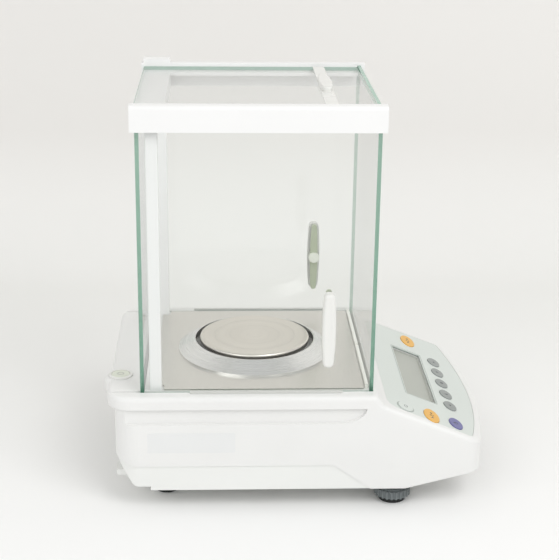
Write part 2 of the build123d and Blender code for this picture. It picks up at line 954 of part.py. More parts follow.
left_rail = rail(-1)
save(left_rail, "left_rail")
right_rail = rail(1, with_block=True)
save(right_rail, "right_rail")

# Cross bar over the rear pane
with BuildPart() as rear_bar:
    lip_inner = door_inner - rail_slot_play - rail_lip_t
    for bar_half_width, low, high in (
        (lip_inner, rail_bottom, rail_ledge_top - rail_ledge_t),
        (rail_inner, rail_ledge_top - rail_ledge_t, rail_ledge_top),
    ):
        box_between(
            (-bar_half_width, pan_y + rear_bar_reach, low),
            (bar_half_width, pan_y + rear_bar_end, high),
        )
    box_between(
        (-lip_inner, pan_y + rear_pane_reach - glass_t / 2 - pane_play, rail_bottom - 1),
        (lip_inner, pan_y + rear_pane_reach + glass_t / 2 + pane_play, rear_pane_top + pane_play),
        mode=Mode.SUBTRACT,
    )

save(rear_bar, "rear_bar")


def post(side):
    """Post in a rear corner of the chamber."""
    ends = sorted((side * post_x, side * pane_half_width))
    with BuildPart() as column:
        box_between(
            (ends[0], pan_y + post_reach, shelf_height),
            (ends[1], pan_y + post_reach + post_depth, rail_bottom),
        )
        fillet(column.edges().filter_by(Axis.Z), 1)
    return column


left_post = post(-1)
save(left_post, "left_post")
right_post = post(1)
save(right_post, "right_post")

# Strip in two lengths along the foot of the front pane
with BuildPart() as front_strip:
    for low_x, high_x in ((-strip_half_width, -strip_gap / 2), (strip_gap / 2, strip_half_width)):
        box_between(
            (low_x, pan_y - strip_reach - strip_width, shelf_height),
            (high_x, pan_y - strip_reach, shelf_height + strip_height),
        )
    fillet(front_strip.edges().filter_by(Axis.X).group_by(Axis.Z)[-1], strip_width * 0.3)

save(front_strip, "front_strip")

# Strips beside the side doors that guide them at the bottom
with BuildPart() as door_guides:
    for side in (-1, 1):
        ends = sorted((side * (door_outer + guide_gap), side * (door_outer + guide_gap + guide_width)))
        box_between(
            (ends[0], pan_y + guide_centre - guide_half_length, shelf_height),
            (ends[1], pan_y + guide_centre + guide_half_length, shelf_height + guide_height),
        )
    fillet(door_guides.edges().filter_by(Axis.Z), guide_width * 0.45)

save(door_guides, "door_guides")


def lozenge(plane, length, width, end_width):
    """Long shape with bowed sides and round ends; its length runs along the plane's y."""
    half = length / 2
    with BuildSketch(plane) as shape:
        with BuildLine():
            ThreePointArc((end_width / 2, -half), (width / 2, 0), (end_width / 2, half))
            Line((end_width / 2, half), (-end_width / 2, half))
            ThreePointArc((-end_width / 2, half), (-width / 2, 0), (-end_width / 2, -half))
            Line((-end_width / 2, -half), (end_width / 2, -half))
        make_face()
        fillet(shape.vertices(), end_width * 0.45)
    return shape.sketch


# Side doors: a pane, a grip outside and a clamp with a knob inside, joined through the glass
def side_door(side, prefix):
    """Makes the three pieces of one side door."""
    outer = Plane(origin=(side * door_outer, handle_y, handle_height), x_dir=(0, 1, 0), z_dir=(side, 0, 0))
    inner = Plane(origin=(side * door_inner, handle_y, handle_height), x_dir=(0, 1, 0), z_dir=(-side, 0, 0))
    if side < 0:
        outer = Plane(origin=outer.origin, x_dir=(0, -1, 0), z_dir=(side, 0, 0))
    ends = sorted((side * door_inner, side * door_outer))
    with BuildPart() as glass:
        box_between((ends[0], pan_y - door_reach, door_bottom), (ends[1], pan_y + door_reach, door_top))
        with BuildSketch(inner):
            Circle(stud_r + stud_play)
        extrude(amount=-glass_t, mode=Mode.SUBTRACT)
    save(glass, f"{prefix}_door_glass")
    with BuildPart() as handle:
        extrude(lozenge(outer, handle_length, handle_width, handle_end_width), amount=handle_proud)
        crown = handle.faces().sort_by(Axis((0, 0, 0), (side, 0, 0)))[-1]
        fillet(crown.edges(), handle_end_width * 0.3)
        with BuildSketch(outer):
            Circle(stud_r)
        extrude(amount=-(glass_t + clamp_t))
    save(handle, f"{prefix}_door_handle")
    with BuildPart() as clamp:
        extrude(lozenge(inner, handle_length, clamp_width, clamp_end_width), amount=clamp_t)
        with BuildSketch(inner):
            Circle(knob_r)
        extrude(amount=clamp_t + knob_t)
        fillet(clamp.edges().sort_by(Axis((0, 0, 0), (-side, 0, 0)))[-1], knob_t * 0.3)
        with BuildSketch(inner):
            Circle(stud_r + stud_play)
        extrude(amount=clamp_t + stud_play, mode=Mode.SUBTRACT)
    save(clamp, f"{prefix}_door_clamp")


side_door(-1, "left")
side_door(1, "right")

# Top door: a pane on the ledges, a band across it and a grip on the band
with BuildPart() as top_door_glass:
    box_between(
        (-top_glass_half_width, pan_y - top_glass_front, top_glass_low),
        (top_glass_half_width, pan_y + top_glass_rear, top_glass_high),
    )

save(top_door_glass, "top_door_glass")

with BuildPart() as top_door_band:
    box_between(
        (-band_half_length, handle_y - band_width / 2, top_glass_high),
        (band_half_length, handle_y + band_width / 2, top_glass_high + band_t),
    )
    fillet(top_door_band.edges().filter_by(Axis.Z), band_width * 0.2)

save(top_door_band, "top_door_band")

with BuildPart() as top_door_grip:
    grip_plane = Plane(origin=(0, handle_y, top_glass_high + band_t), x_dir=(0, -1, 0), z_dir=(0, 0, 1))
    extrude(lozenge(grip_plane, handle_length, handle_width, grip_end_width), amount=grip_proud - band_t)
    fillet(top_door_grip.edges().group_by(Axis.Z)[-1], (grip_proud - band_t) * 0.4)

save(top_door_grip, "top_door_grip")

# Floor plate of the chamber: notched round the posts, with a hole under the shield ring
with BuildPart() as floor_plate:
    with BuildSketch(Plane.XY.offset(shelf_height)):
        with BuildLine():
            Polyline(
                (-plate_half_width, pan_y - plate_front_reach),
                (plate_half_width, pan_y - plate_front_reach),
                (plate_half_width, pan_y + plate_notch_reach),
                (plate_notch_x, pan_y + plate_notch_reach),
                (plate_notch_x, pan_y + plate_rear_reach),
                (-plate_notch_x, pan_y + plate_rear_reach),
                (-plate_notch_x, pan_y + plate_notch_reach),
                (-plate_half_width, pan_y + plate_notch_reach),
                close=True,
            )
        make_face()
        with Locations((0, pan_y)):
            Circle(plate_hole_r, mode=Mode.SUBTRACT)
    extrude(amount=plate_t)
    fillet(floor_plate.edges().filter_by(Axis.Z).group_by(Axis.Y)[0], 1)

save(floor_plate, "floor_plate")

# Shield ring: a conical sheet standing on the plate, open over the pan
with BuildPart() as shield_ring:
    with BuildSketch(Plane.XZ.offset(-pan_y)):
        with BuildLine():
            Polyline(
                (ring_r, plate_top),
                (ring_r, plate_top + ring_rim),
                (ring_open_r + ring_lip, ring_top),
                (ring_open_r, ring_top),
                (ring_open_r, ring_top - ring_t),
                (ring_r - ring_t, plate_top + ring_rim - ring_t / 2),
                (ring_r - ring_t, plate_top),
                close=True,
            )
        make_face()
    revolve(axis=Axis((0, pan_y, 0), (0, 0, 1)))

save(shield_ring, "shield_ring")

# Pan: a disc with a turned-down skirt and a conical hub
with BuildPart() as pan:
    with BuildSketch(Plane.XZ.offset(-pan_y)) as section:
        with BuildLine():
            Polyline(
                (0, pan_top),
                (pan_r, pan_top),
                (pan_r, pan_top - pan_skirt),
                (pan_r - pan_t, pan_top - pan_skirt),
                (pan_r - pan_t, pan_under),
                (0, pan_under),
                close=True,
            )
        make_face()
        fillet(section.vertices().sort_by_distance((pan_r, pan_top, 0))[0], pan_edge_r)
        fillet(section.vertices().sort_by_distance((pan_r - pan_t, pan_under, 0))[0], pan_edge_r - pan_t)
    revolve(axis=Axis((0, pan_y, 0), (0, 0, 1)))
    with BuildSketch(Plane.XZ.offset(-pan_y)):
        with BuildLine():
            Polyline(
                (cone_top_r + cone_play, pan_under),
                (cone_r + cone_play, pan_under - cone_height),
                (cone_r + cone_play + pan_hub_wall, pan_under - cone_height),
                (cone_r + cone_play + pan_hub_wall, pan_under),
                close=True,
            )
        make_face()
    revolve(axis=Axis((0, pan_y, 0), (0, 0, 1)))

save(pan, "pan")

# Pan support: cone under the pan on a sleeve over the stem of the hanger
with BuildPart() as pan_support:
    with BuildSketch(Plane.XZ.offset(-pan_y)):
        with BuildLine():
            Polyline(
                (0, pan_under),
                (cone_top_r, pan_under),
                (cone_r, pan_under - cone_height),
                (hanger_stem_r + 1, pan_under - cone_height - 1),
                (hanger_stem_r + 1, hanger_stem_top),
                (0, hanger_stem_top),
                close=True,
            )
        make_face()
    revolve(axis=Axis((0, pan_y, 0), (0, 0, 1)))

save(pan_support, "pan_support")

# Weigh cell: a base with two cheeks that carry the guides and the pivot of the lever
cell_top = cell_base_low + cell_base_t
guide_low_z = cell_top + guide_rise
hanger_low = guide_low_z + guide_t + guide_play
hanger_high = guide_high_z - guide_play
with BuildPart() as cell_base:
    with BuildSketch(Plane.YZ.offset(-cell_half_width)):
        with BuildLine():
            Polyline(
                (pan_y + cell_front, cell_base_low),
                (pan_y + cell_rear - cell_chamfer, cell_base_low),
                (pan_y + cell_rear, cell_base_low + cell_chamfer),
                (pan_y + cell_rear, cell_top),
                (pan_y + cell_front, cell_top),
                close=True,
            )
        make_face()
    extrude(amount=2 * cell_half_width)
    fillet(cell_base.edges().filter_by(Axis.Z).group_by(Axis.Y)[0], 4)
    for low_x, high_x in ((-tower_outer, -tower_inner), (tower_inner, tower_outer)):
        box_between(
            (low_x, pan_y + tower_front, cell_top),
            (high_x, pan_y + tower_rear, tower_top - guide_seat_gap),
        )
    box_between(
        (-tower_inner, pan_y + tower_rear - guide_bar, cell_top),
        (tower_inner, pan_y + tower_rear, guide_low_z - guide_seat_gap),
    )
    for x in (-cell_bolt_x, cell_bolt_x):
        for reach in cell_bolt_reaches:
            with Locations((x, pan_y + reach, cell_top)):
                Hole(screw_r + 0.2, depth=cell_base_t)
    with BuildSketch(Plane.YZ.offset(-tower_outer)):
        with Locations((pan_y + lever_pivot, lever_z)):
            Circle(pivot_r + pivot_play)
    extrude(amount=2 * tower_outer, mode=Mode.SUBTRACT)

save(cell_base, "cell_base")


def guide_plate(height, half_width_of_guide, stem_hole=0.0):
    """Guide from the cheeks to the hanger, thinned to a flexure at both ends."""
    front = pan_y + guide_front
    rear = pan_y + tower_rear
    with BuildPart() as plate:
        box_between(
            (-half_width_of_guide, front, height),
            (half_width_of_guide, rear, height + guide_t),
        )
        box_between(
            (-half_width_of_guide + guide_bar / 2, front + guide_bar + hanger_depth / 2, height - 1),
            (half_width_of_guide - guide_bar / 2, rear - guide_bar, height + guide_t + 1),
            mode=Mode.SUBTRACT,
        )
        for neck_y in (pan_y + guide_hinge, front + guide_bar + hanger_depth):
            with BuildSketch(Plane.YZ.offset(-half_width_of_guide)):
                with Locations((neck_y, height + guide_t + guide_flexure)):
                    Circle(guide_t)
            extrude(amount=2 * half_width_of_guide, mode=Mode.SUBTRACT)
        if stem_hole:
            with Locations((0, pan_y, height + guide_t)):
                Hole(stem_hole, depth=guide_t)
    return plate


upper_guide = guide_plate(guide_high_z, tower_outer, hanger_stem_r + 2 * guide_play)
save(upper_guide, "upper_guide")
lower_guide = guide_plate(guide_low_z, tower_inner - guide_play)
save(lower_guide, "lower_guide")

# Hanger: block between the guides with a stem up to the pan support
with BuildPart() as hanger:
    box_between(
        (-hanger_half_width, pan_y - hanger_depth / 2, hanger_low),
        (hanger_half_width, pan_y + hanger_depth / 2, hanger_high),
    )
    fillet(hanger.edges().filter_by(Axis.Z), 2)
    with BuildSketch(Plane.XY.offset(hanger_high)):
        with Locations((0, pan_y)):
            Circle(hanger_stem_r)
    extrude(amount=hanger_stem_top - hanger_high)

save(hanger, "hanger")

# Lever on its pivot pin, with a seat for the coil and a thin tip in the sensor
coil_y = pan_y + coil_centre
with BuildPart() as lever:
    lever_low = lever_z - lever_t / 2
    box_between(
        (-lever_half_width, pan_y + lever_front, lever_low),
        (lever_half_width, coil_y, lever_z + lever_t / 2),
    )
    with BuildSketch(Plane.XY.offset(lever_low)):
        with Locations((0, coil_y)):
            Circle(coil_r)
    extrude(amount=coil_seat_t)
    box_between(
        (-lever_tip_width / 2, coil_y, lever_low),
        (lever_tip_width / 2, pan_y + lever_end, lever_low + lever_tip_t),
    )
    with BuildSketch(Plane.YZ.offset(-tower_outer)):
        with Locations((pan_y + lever_pivot, lever_z)):
            Circle(pivot_r)
    extrude(amount=2 * tower_outer)

save(lever, "lever")

with BuildPart() as coil:
    with BuildSketch(Plane.XY.offset(lever_low - coil_height)):
        with Locations((0, coil_y)):
            Circle(coil_r)
            Circle(coil_r - coil_wall, mode=Mode.SUBTRACT)
    extrude(amount=coil_height)

save(coil, "coil")

# Magnet: cup of the yoke round a centre pole, with the coil in its gap
with BuildPart() as magnet:
    with BuildSketch(Plane.XY.offset(cell_top)):
        with Locations((0, coil_y)):
            Circle(yoke_r)
    extrude(amount=lever_low - yoke_clear - cell_top)
    with BuildSketch(Plane.XY.offset(cell_top + yoke_bottom)):
        with Locations((0, coil_y)):
            Circle(yoke_r - yoke_wall)
            Circle(pole_r, mode=Mode.SUBTRACT)
    extrude(amount=lever_low - cell_top, mode=Mode.SUBTRACT)

save(magnet, "magnet")

# Position sensor: a fork round the tip of the lever
with BuildPart() as position_sensor:
    sensor_rear = pan_y + cell_rear - 0.5
    tip_middle = lever_low + lever_tip_t / 2
    box_between(
        (-sensor_half_width, sensor_rear - sensor_depth, cell_top),
        (sensor_half_width, sensor_rear, tip_middle + sensor_gap + sensor_fork_t),
    )
    box_between(
        (-sensor_half_width, sensor_rear - sensor_depth - 1, tip_middle - sensor_gap),
        (sensor_half_width, sensor_rear - sensor_depth + sensor_notch, tip_middle + sensor_gap),
        mode=Mode.SUBTRACT,
    )

save(position_sensor, "position_sensor")


# Levelling feet: a pad with a stud under a fluted wheel on its threaded stem
def levelling_foot(side, prefix):
    """Makes the pad and the wheel of one front foot."""
    foot_y = pan_y - foot_reach
    with BuildPart() as foot_pad:
        with BuildSketch(Plane.XY):
            with Locations((side * foot_x, foot_y)):
                Circle(pad_r)
        extrude(amount=pad_t)
        fillet(foot_pad.edges().group_by(Axis.Z)[-1], pad_t * 0.3)
        with BuildSketch(Plane.XY.offset(pad_t)):
            with Locations((side * foot_x, foot_y)):
                Circle(pin_r)
        extrude(amount=wheel_high - wheel_cap - pad_t - pin_play)
    save(foot_pad, f"{prefix}_foot_pad")
    with BuildPart() as wheel:
        with BuildSketch(Plane.XY.offset(wheel_low)):
            with Locations((side * foot_x, foot_y)):
                Circle(wheel_r)
                with PolarLocations(wheel_r, wheel_flutes):
                    Circle(flute_r, mode=Mode.SUBTRACT)
                Circle(pin_r + pin_play, mode=Mode.SUBTRACT)
        extrude(amount=wheel_high - wheel_cap - wheel_low)
        with BuildSketch(Plane.XY.offset(wheel_high - wheel_cap)):
            with Locations((side * foot_x, foot_y)):
                Circle(wheel_r - 2 * flute_r)
        extrude(amount=wheel_cap)
        with BuildSketch(Plane.XY.offset(wheel_high)):
            with Locations((side * foot_x, foot_y)):
                Circle(stem_r)
        extrude(amount=stem_top - wheel_high)
    save(wheel, f"{prefix}_foot_wheel")


levelling_foot(-1, "left")
levelling_foot(1, "right")

# Fixed rear feet
with BuildPart() as rear_feet:
    with BuildSketch(Plane.XY):
        with Locations((-rear_foot_x, pan_y + rear_foot_reach), (rear_foot_x, pan_y + rear_foot_reach)):
            Circle(rear_foot_r)
    extrude(amount=rear_pad_t)
    fillet(rear_feet.edges().group_by(Axis.Z)[0], 1)

save(rear_feet, "rear_feet")


def screw(x, y, seat, size, up=1):
    """Adds one screw with its head against a seat height and its shank going on past it."""
    head_r, head_t, shank_r, length = size
    extrude(disc(x, y, seat, head_r), amount=-up * head_t)
    extrude(disc(x, y, seat, shank_r), amount=up * length)


# Screws that hold the tray to the housing, driven from below
with BuildPart() as tray_screws:
    for x in (-pillar_x, pillar_x):
        for reach in pillar_reaches:
            size = (screw_head_r, screw_head_t, screw_r, screw_length)
            screw(x, pan_y + reach, tray_bottom + wall / 2, size)

save(tray_screws, "tray_screws")

# Bolts of the weigh cell, driven from above
with BuildPart() as cell_bolts:
    for x in (-cell_bolt_x, cell_bolt_x):
        for reach in cell_bolt_reaches:
            size = (screw_head_r, screw_head_t, screw_r, cell_base_t + 4)
            screw(x, pan_y + reach, cell_top, size, up=-1)

save(cell_bolts, "cell_bolts")

# Small screws of the display board and the main board
with BuildPart() as board_screws:
    for x in (-board_post_x, board_post_x):
        for v in board_post_vs:
            head_plane = on_panel(x, v, board_sink + board_t)
            with BuildSketch(head_plane) as head:
                Circle(board_screw_head_r)
            extrude(amount=-board_screw_head_t)
            with BuildSketch(head_plane) as shank:
                Circle(board_screw_r)
            extrude(amount=board_screw_length - wall / 2)
    for x, y in main_board_posts:
        size = (board_screw_head_r, board_screw_head_t, board_screw_r, board_screw_length)
        screw(x, y, main_board_z + board_t, size, up=-1)

save(board_screws, "board_screws")
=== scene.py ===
import json
import math

import bmesh
import bpy
from mathutils import Matrix, Vector


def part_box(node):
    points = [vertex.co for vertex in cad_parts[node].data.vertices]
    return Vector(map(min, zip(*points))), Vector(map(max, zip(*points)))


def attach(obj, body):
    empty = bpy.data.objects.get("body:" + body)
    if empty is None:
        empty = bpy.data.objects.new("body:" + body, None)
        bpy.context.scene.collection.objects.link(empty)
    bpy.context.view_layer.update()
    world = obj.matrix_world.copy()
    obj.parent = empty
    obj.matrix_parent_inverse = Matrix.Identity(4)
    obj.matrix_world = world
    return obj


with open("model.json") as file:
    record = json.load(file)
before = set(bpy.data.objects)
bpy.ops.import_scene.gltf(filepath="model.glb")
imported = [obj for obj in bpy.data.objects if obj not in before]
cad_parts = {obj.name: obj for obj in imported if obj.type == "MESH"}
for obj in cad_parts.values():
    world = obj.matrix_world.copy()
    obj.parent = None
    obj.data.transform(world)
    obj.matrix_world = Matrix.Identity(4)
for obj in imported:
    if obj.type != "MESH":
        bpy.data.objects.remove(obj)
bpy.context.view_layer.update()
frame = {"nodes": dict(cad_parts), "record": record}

nodes = frame["nodes"]
MM = 0.001

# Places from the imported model
housing_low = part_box("upper_housing")[0]
film_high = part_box("keypad_film")[1]
pan_low, pan_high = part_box("pan")
pan_centre = (pan_low + pan_high) / 2

# Camera of the photograph, in metres and radians
camera_place = Vector((-1.10369, 0.06467, 0.55262))
camera_yaw = 0.0459
camera_pitch = 0.3373
camera_roll = 0.0125
camera_focal_px = 1343.21
camera_reach = 20.0
image_height = 560
sensor = 36.0

# Light: the world and two square lamps that point at the middle of the balance
world_colour = (0.995, 0.998, 1.0, 1)
world_strength = 0.66
lamp_target = Vector((0, 0, 0.15))


def add_camera():
    """Camera at the photograph's place, looking the same way."""
    forward = Vector((
        math.cos(camera_pitch) * math.cos(camera_yaw),
        -math.cos(camera_pitch) * math.sin(camera_yaw),
        -math.sin(camera_pitch),
    ))
    right = forward.cross(Vector((0, 0, 1))).normalized()
    up = right.cross(forward)
    right, up = (
        right * math.cos(camera_roll) + up * math.sin(camera_roll),
        up * math.cos(camera_roll) - right * math.sin(camera_roll),
    )
    data = bpy.data.cameras.new("camera")
    data.sensor_width = sensor
    data.lens = camera_focal_px * sensor / image_height
    data.clip_end = camera_reach
    camera = bpy.data.objects.new("camera", data)
    turn = Matrix((right, up, -forward)).transposed().to_4x4()
    camera.matrix_world = Matrix.Translation(camera_place) @ turn
    bpy.context.scene.collection.objects.link(camera)
    bpy.context.scene.camera = camera


def add_lamp(name, place, size, power):
    """Soft square lamp that points at the balance."""
    data = bpy.data.lights.new(name, "AREA")
    data.shape = "SQUARE"
    data.size = size
    data.energy = power
    lamp = bpy.data.objects.new(name, data)
    lamp.location = place
    direction = lamp_target - Vector(place)
    lamp.rotation_euler = direction.to_track_quat("-Z", "Y").to_euler()
    bpy.context.scene.collection.objects.link(lamp)


def light_world():
    """Even pale light from all round."""
    world = bpy.data.worlds.new("surroundings")
    world.use_nodes = True
    tree = world.node_tree
    tree.nodes.clear()
    output = tree.nodes.new("ShaderNodeOutputWorld")
    background = tree.nodes.new("ShaderNodeBackground")
    background.inputs["Color"].default_value = world_colour
    background.inputs["Strength"].default_value = world_strength
    tree.links.new(background.outputs["Background"], output.inputs["Surface"])
    bpy.context.scene.world = world


# Colours are written as display values out of 255
def linear(red, green, blue):
    """Linear colour from display values."""
    def channel(value):
        value = value / 255
        return value / 12.92 if value <= 0.04045 else ((value + 0.055) / 1.055) ** 2.4
    return (channel(red), channel(green), channel(blue), 1.0)


def shade(colour, factor):
    """Colour made darker or lighter by a factor."""
    return (*(min(1.0, value * factor) for value in colour[:3]), 1.0)


class Shader:
    """Short way to build a node material. Patterns are in features per metre."""

    def __init__(self, name):
        self.material = bpy.data.materials.new(name)
        self.material.use_nodes = True
        self.tree = self.material.node_tree
        self.tree.nodes.clear()

    def add(self, kind, inputs=None, **settings):
        """Adds a node, with its settings and the values or links of its inputs."""
        node = self.tree.nodes.new(kind)
        for key, value in settings.items():
            setattr(node, key, value)
        for key, value in (inputs or {}).items():
            if hasattr(value, "links"):
                self.tree.links.new(value, node.inputs[key])
            else:
                node.inputs[key].default_value = value
        return node

    def place(self):
        """Object coordinates, which follow the piece."""
        return self.add("ShaderNodeTexCoord").outputs["Object"]

    def split(self, vector):
        """Outputs X, Y and Z of a vector."""
        return self.add("ShaderNodeSeparateXYZ", {"Vector": vector}).outputs

    def maths(self, operation, first, second=0.0):
        """Number worked out from one or two numbers."""
        node = self.add("ShaderNodeMath", {0: first, 1: second}, operation=operation)
        return node.outputs["Value"]

    def vector_maths(self, operation, *values):
        """Node that works on vectors."""
        return self.add("ShaderNodeVectorMath", dict(enumerate(values)), operation=operation)

    def radius(self, centre, across):
        """Distance from an axis through a centre, with 1 for each direction across it."""
        away = self.vector_maths("SUBTRACT", self.place(), centre).outputs["Vector"]
        flat = self.vector_maths("MULTIPLY", away, across).outputs["Vector"]
        return self.vector_maths("LENGTH", flat).outputs["Value"]

    def noise(self, scale, detail, stretch=None):
        """Noise over the piece, stretched along the axes if asked."""
        source = self.place()
        if stretch:
            mapping = self.add("ShaderNodeMapping", {"Vector": source, "Scale": stretch})
            source = mapping.outputs["Vector"]
        node = self.add(
            "ShaderNodeTexNoise", {"Vector": source, "Scale": scale, "Detail": detail}
        )
        return node.outputs["Fac"]

    def rings(self, radius, scale, detail):
        """Noise along a radius."""
        node = self.add(
            "ShaderNodeTexNoise",
            {"W": radius, "Scale": scale, "Detail": detail},
            noise_dimensions="1D",
        )
        return node.outputs["Fac"]

    def ramp(self, factor, stops):
        """Colour ramp with stops of place and colour."""
        node = self.add("ShaderNodeValToRGB", {"Fac": factor})
        for element, (place, colour) in zip(node.color_ramp.elements, stops):
            element.position = place
            element.color = colour
        return node.outputs["Color"]

    def spread(self, factor, low, high):
        """Maps a factor from 0 to 1 onto a range."""
        node = self.add("ShaderNodeMapRange", {"Value": factor, "To Min": low, "To Max": high})
        return node.outputs["Result"]

    def share(self, value, low, high):
        """Maps a range onto a factor from 0 to 1."""
        node = self.add("ShaderNodeMapRange", {"Value": value, "From Min": low, "From Max": high})
        return node.outputs["Result"]

    def bump(self, height, distance, strength):
        """Normal of a surface with small heights."""
        node = self.add(
            "ShaderNodeBump", {"Height": height, "Distance": distance, "Strength": strength}
        )
        return node.outputs["Normal"]

    def mix(self, factor, first, second):
        """Blend of two surfaces."""
        node = self.add("ShaderNodeMixShader", {0: factor, 1: first, 2: second})
        return node.outputs["Shader"]

    def surface(self, inputs):
        """Principled surface."""
        return self.add("ShaderNodeBsdfPrincipled", inputs).outputs["BSDF"]

    def finish(self, surface):
        """Material with the surface as its look."""
        self.add("ShaderNodeOutputMaterial", {"Surface": surface})
        return self.material


# Patterns that plastics share, in features per metre
cloud_scale = 9.0
smudge_scale = 35.0


def moulded(name, colour, roughness, grain, grain_scale, variation, specular=0.5):
    """Moulded plastic: fine grain, slight clouding and smudged gloss."""
    shader = Shader(name)
    cloud = shader.noise(cloud_scale, detail=3.0)
    smudge = shader.noise(smudge_scale, detail=5.0)
    return shader.finish(shader.surface({
        "Base Color": shader.ramp(
            cloud, [(0.3, shade(colour, 1 - variation)), (0.7, shade(colour, 1 + variation))]
        ),
        "Roughness": shader.spread(smudge, roughness - 0.05, roughness + 0.06),
        "Normal": shader.bump(shader.noise(grain_scale, detail=2.0), grain, strength=0.5),
        "IOR": 1.46,
        "Specular IOR Level": specular,
    }))


def brushed(name, colour, stretch, roughness=0.3, anisotropic=0.4, scale=60.0):
    """Brushed sheet metal with fine lines along one axis."""
    shader = Shader(name)
    lines = shader.noise(scale, detail=6.0, stretch=stretch)
    return shader.finish(shader.surface({
        "Base Color": shader.ramp(
            lines, [(0.25, shade(colour, 0.93)), (0.75, shade(colour, 1.06))]
        ),
        "Metallic": 1.0,
        "Roughness": shader.spread(lines, roughness - 0.06, roughness + 0.08),
        "Anisotropic": anisotropic,
        "Normal": shader.bump(lines, 0.03 * MM, strength=0.4),
    }))


# Rings of the turned metal, per metre of radius
fine_rings = 2600.0
broad_rings = 160.0


def turned(name, colour, roughness=0.28):
    """Sheet metal with fine rings about the axis of the pan."""
    shader = Shader(name)
    radius = shader.radius((pan_centre.x, pan_centre.y, 0), (1, 1, 0))
    rings = shader.rings(radius, fine_rings, detail=3.0)
    broad = shader.rings(radius, broad_rings, detail=2.0)
    tangent = shader.add("ShaderNodeTangent", direction_type="RADIAL", axis="Z")
    return shader.finish(shader.surface({
        "Base Color": shader.ramp(broad, [(0.3, shade(colour, 0.95)), (0.7, shade(colour, 1.04))]),
        "Metallic": 1.0,
        "Roughness": shader.spread(rings, roughness - 0.05, roughness + 0.1),
        "Anisotropic": 0.6,
        "Tangent": tangent.outputs["Tangent"],
        "Normal": shader.bump(rings, 0.02 * MM, strength=0.5),
    }))


# Glass: tint of its faces, and the green of its edges from the shelf to the top of the doors; the
# green is the glass's own, and its darker low end is painted shade reflected in the edges
glass_ior = 1.5
glass_tint = (0.993, 0.997, 0.994, 1)
edge_low, edge_high = 0.10, 0.33
edge_green_with_painted_shade = linear(104, 158, 134)
edge_high_green = linear(148, 186, 168)
smear_scale = 12.0
face_normal_limit = 0.7


def pane_glass(name, thin_axis):
    """Float glass: clear through its faces, green where its edges show."""
    shader = Shader(name)
    geometry = shader.add("ShaderNodeNewGeometry").outputs
    facing = shader.maths("ABSOLUTE", shader.split(geometry["True Normal"])["XYZ"[thin_axis]])
    is_face = shader.maths("GREATER_THAN", facing, face_normal_limit)
    smear = shader.noise(smear_scale, detail=4.0)

    # The back of a face reflects nothing, since light goes through the pane without a bend
    fresnel = shader.add("ShaderNodeFresnel", {"IOR": glass_ior}).outputs["Fac"]
    is_outside = shader.maths("SUBTRACT", 1.0, geometry["Backfacing"])
    clear = shader.add("ShaderNodeBsdfTransparent", {"Color": glass_tint})
    gloss = shader.add("ShaderNodeBsdfGlossy", {"Roughness": shader.spread(smear, 0.01, 0.05)})
    face = shader.mix(
        shader.maths("MULTIPLY", fresnel, is_outside), clear.outputs["BSDF"], gloss.outputs["BSDF"]
    )

    # Edges turn darker green towards the shelf: painted shade over the glass's own green
    climb = shader.share(shader.split(shader.place())["Z"], edge_low, edge_high)
    edge = shader.surface({
        "Base Color": shader.ramp(climb, [(0.0, edge_green_with_painted_shade), (1.0, edge_high_green)]),
        "Roughness": shader.spread(smear, 0.12, 0.3),
        "IOR": glass_ior,
        "Transmission Weight": 0.25,
    })
    return shader.finish(shader.mix(is_face, edge, face))


# Inner clamps: the pale knob ends between two radii about the stud
knob_inner_r, knob_outer_r = 4.8 * MM, 5.2 * MM
clamp_cloud_scale = 60.0
clamp_grain_scale = 900.0


def clamp_plastic_and_painted_shade(painted_shade_grip_colour, knob_colour):
    """Inner clamp plastic: the olive of the grip is painted shade, and the round knob is whiter in
    its own pale colour.
    """
    shader = Shader("clamp_plastic_and_painted_shade")
    low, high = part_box("left_door_handle")
    knob_y, knob_z = (low.y + high.y) / 2, (low.z + high.z) / 2
    radius = shader.radius((0, knob_y, knob_z), (0, 1, 1))
    cloud = shader.spread(shader.noise(clamp_cloud_scale, detail=3.0), -0.04, 0.04)
    blend = shader.maths("ADD", shader.share(radius, knob_inner_r, knob_outer_r), cloud)
    return shader.finish(shader.surface({
        # Olive grip colour is painted shade; the pale knob keeps the plastic's own colour
        "Base Color": shader.ramp(blend, [(0.0, knob_colour), (1.0, painted_shade_grip_colour)]),
        "Roughness": shader.spread(shader.noise(smudge_scale, detail=5.0), 0.25, 0.36),
        "Normal": shader.bump(
            shader.noise(clamp_grain_scale, detail=2.0), 0.02 * MM, strength=0.4
        ),
    }))


